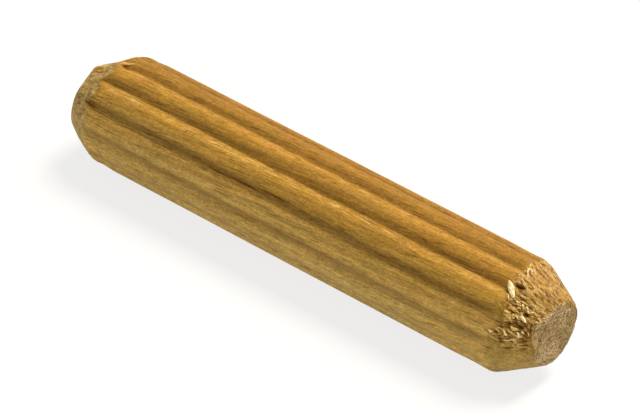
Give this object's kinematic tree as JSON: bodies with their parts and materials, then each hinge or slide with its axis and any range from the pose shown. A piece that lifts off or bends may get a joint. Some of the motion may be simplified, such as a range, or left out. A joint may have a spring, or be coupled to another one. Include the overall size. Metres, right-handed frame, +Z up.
{
  "type": "dowel pin",
  "caption": "Fluted wooden dowel pin with pressed lengthwise grooves, chamfered ends and torn fibres on one chamfer; glued across a joint to align and hold boards.",
  "frame": {"origin": "on the surface that the pin lies on, under the middle of its length and width", "axes": "+X along the pin towards the end with the torn chamfer, +Z up, away from the surface that it lies on"},
  "size_m": [0.0382, 0.0078, 0.0078],
  "materials": {
    "wood": "bare compressed hardwood, fine lengthwise grain with short dark pores, rough end grain on the chamfers and end faces"
  },
  "bodies": {
    "root": {"dowel_pin": "wood"}
  },
  "joints": []
}
